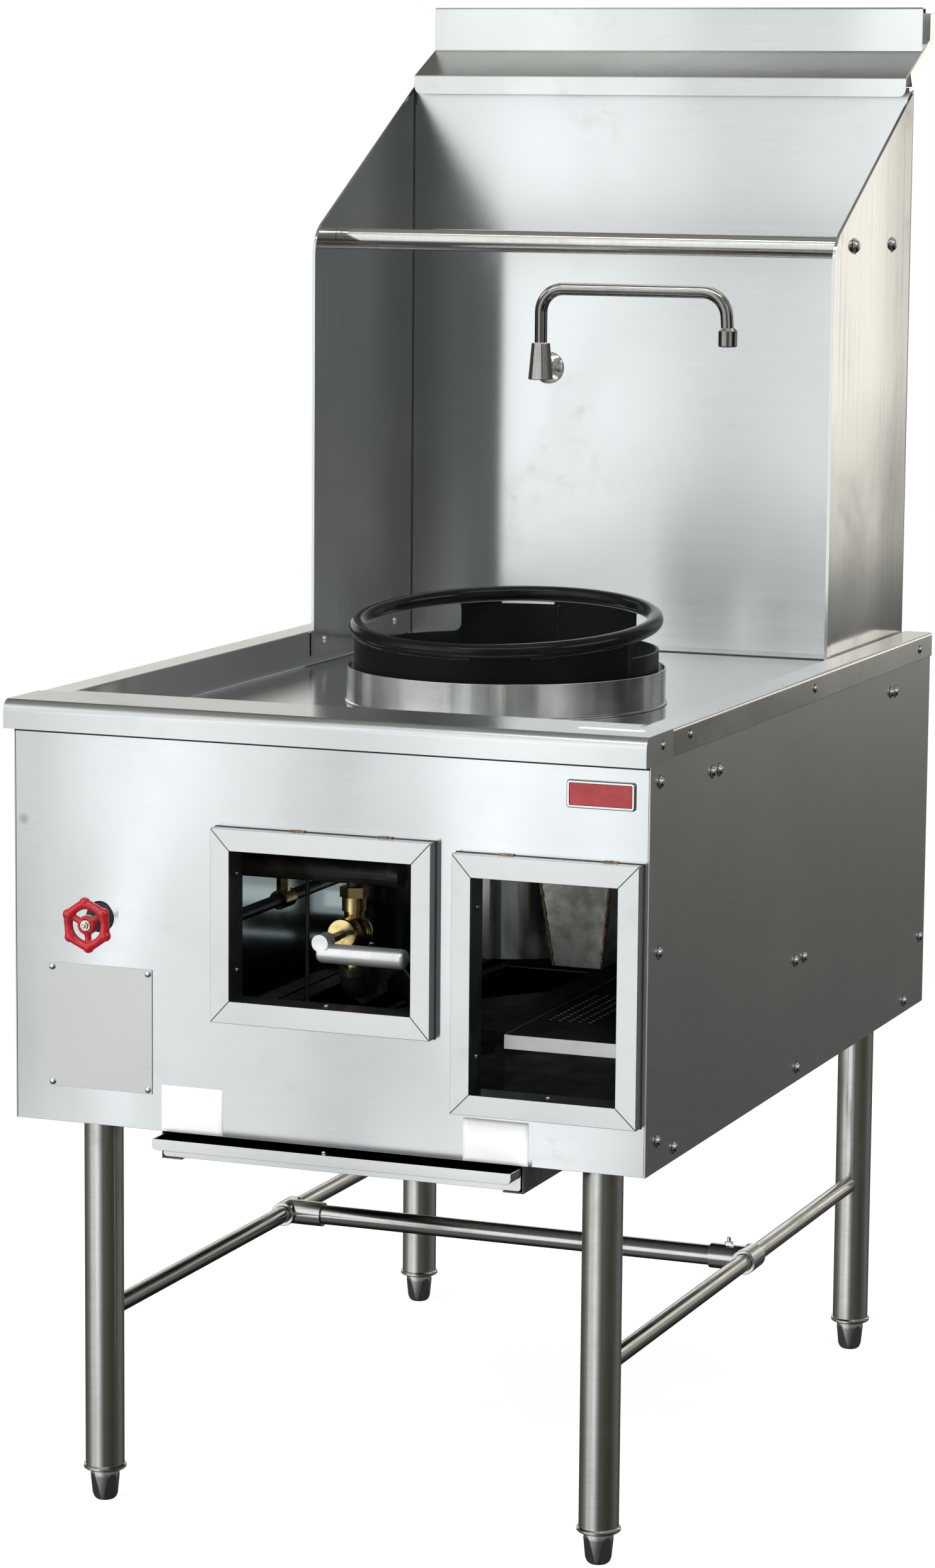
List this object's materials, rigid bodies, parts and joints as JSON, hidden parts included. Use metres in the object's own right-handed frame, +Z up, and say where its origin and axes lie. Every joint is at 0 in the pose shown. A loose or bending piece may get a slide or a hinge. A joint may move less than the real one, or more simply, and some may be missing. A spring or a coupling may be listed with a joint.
{
  "type": "wok range",
  "caption": "Single-burner gas wok range on four tube legs, with a sunk deck, lift-off wok ring, splash wings, flue riser, swivel faucet and a pull-out drip tray.",
  "frame": {"origin": "on the floor, at the bottom centre of the whole range's box", "axes": "+Z up, -Y towards the cook at the front apron, +X to the cook's right"},
  "size_m": [0.7, 1.138, 1.5925],
  "materials": {
    "stainless_brushed": "brushed number 4 sheet with fingerprints and light scratches",
    "stainless_polished": "satin polished tube",
    "steel_dark": "dull dark steel",
    "black_paint": "satin black paint",
    "black_iron": "black malleable iron",
    "wok_ring_steel": "black enamelled steel",
    "brass": "machined brass",
    "lever_aluminium": "satin aluminium",
    "red_enamel": "glossy red enamel",
    "plate_aluminium": "blank satin plate",
    "refractory": "rough cast refractory",
    "rubber_black": "matt rubber",
    "label_white": "blank white adhesive label",
    "fastener_steel": "bright screw and rivet heads"
  },
  "bodies": {
    "range_body": {"leg_left_front": "stainless_brushed", "leg_left_rear": "stainless_brushed", "leg_right_front": "stainless_brushed", "leg_right_rear": "stainless_brushed", "side_rail_left": "stainless_polished", "side_rail_right": "stainless_polished", "cross_tube": "stainless_polished", "tee_clamp_left": "stainless_brushed", "tee_clamp_right": "stainless_brushed", "base_frame": "black_paint", "front_panel": "stainless_brushed", "side_panel_left": "stainless_brushed", "side_panel_right": "stainless_brushed", "back_panel": "stainless_brushed", "worktop_pan": "stainless_brushed", "front_rim": "stainless_brushed", "burner_collar": "stainless_brushed", "burner_drum": "stainless_polished", "drum_lining": "refractory", "burner_head": "black_iron", "air_duct": "steel_dark", "perforated_shelf": "black_paint", "window_frame_left": "stainless_brushed", "window_frame_right": "stainless_brushed", "window_liner_left": "black_paint", "window_liner_right": "black_paint", "gas_manifold": "black_iron", "compression_nut": "brass", "gas_valve": "brass", "gas_elbow": "black_iron", "gas_union": "black_iron", "burner_feed": "black_iron", "pilot_tube": "black_iron", "water_pipe": "steel_dark", "pipe_tee": "brass", "water_valve": "brass", "faucet_flange": "stainless_polished", "faucet_body": "stainless_polished", "splash_wing_left": "stainless_brushed", "splash_wing_right": "stainless_brushed", "back_sheet": "stainless_brushed", "flue_skin": "stainless_brushed", "riser_front": "stainless_brushed", "riser_rear": "stainless_brushed", "pot_rail": "stainless_polished", "tray_runner_left": "steel_dark", "tray_runner_right": "steel_dark", "rating_plate": "plate_aluminium", "badge": "red_enamel"},
    "handwheel_body": {"valve_stem": "stainless_polished", "handwheel": "red_enamel"},
    "lever_body": {"valve_spindle": "black_iron", "lever_grip": "lever_aluminium"},
    "spout_body": {"faucet_spout": "stainless_polished"},
    "ring_body": {"wok_ring": "wok_ring_steel"},
    "tray_body": {"drip_tray": "stainless_brushed"},
    "foot_body_left_front": {"foot_left_front": "stainless_brushed"},
    "foot_body_left_rear": {"foot_left_rear": "stainless_brushed"},
    "foot_body_right_front": {"foot_right_front": "stainless_brushed"},
    "foot_body_right_rear": {"foot_right_rear": "stainless_brushed"}
  },
  "joints": [
    {"name": "handwheel_turn", "type": "hinge", "parent": "range_body", "child": "handwheel_body", "pos_m": [-0.25, -0.56, 0.639], "axis": [0, -1, 0], "range_deg": [0, 1260]},
    {"name": "lever_turn", "type": "hinge", "parent": "range_body", "child": "lever_body", "pos_m": [-0.0125, -0.489, 0.629], "axis": [0, 1, 0], "range_deg": [0, 90]},
    {"name": "spout_swivel", "type": "hinge", "parent": "range_body", "child": "spout_body", "pos_m": [-0.1344, 0.436, 1.2], "axis": [0, 0, 1], "range_deg": [-130, 0]},
    {"name": "ring_lift", "type": "slide", "parent": "range_body", "child": "ring_body", "axis": [0, 0, 1], "range_m": [0, 0.15]},
    {"name": "tray_slide", "type": "slide", "parent": "range_body", "child": "tray_body", "axis": [0, -1, 0], "range_m": [0, 0.55]},
    {"name": "foot_adjust_left_front", "type": "slide", "parent": "range_body", "child": "foot_body_left_front", "axis": [0, 0, -1], "range_m": [0, 0.03]},
    {"name": "foot_adjust_left_rear", "type": "slide", "parent": "range_body", "child": "foot_body_left_rear", "axis": [0, 0, -1], "range_m": [0, 0.03]},
    {"name": "foot_adjust_right_front", "type": "slide", "parent": "range_body", "child": "foot_body_right_front", "axis": [0, 0, -1], "range_m": [0, 0.03]},
    {"name": "foot_adjust_right_rear", "type": "slide", "parent": "range_body", "child": "foot_body_right_rear", "axis": [0, 0, -1], "range_m": [0, 0.03]}
  ]
}
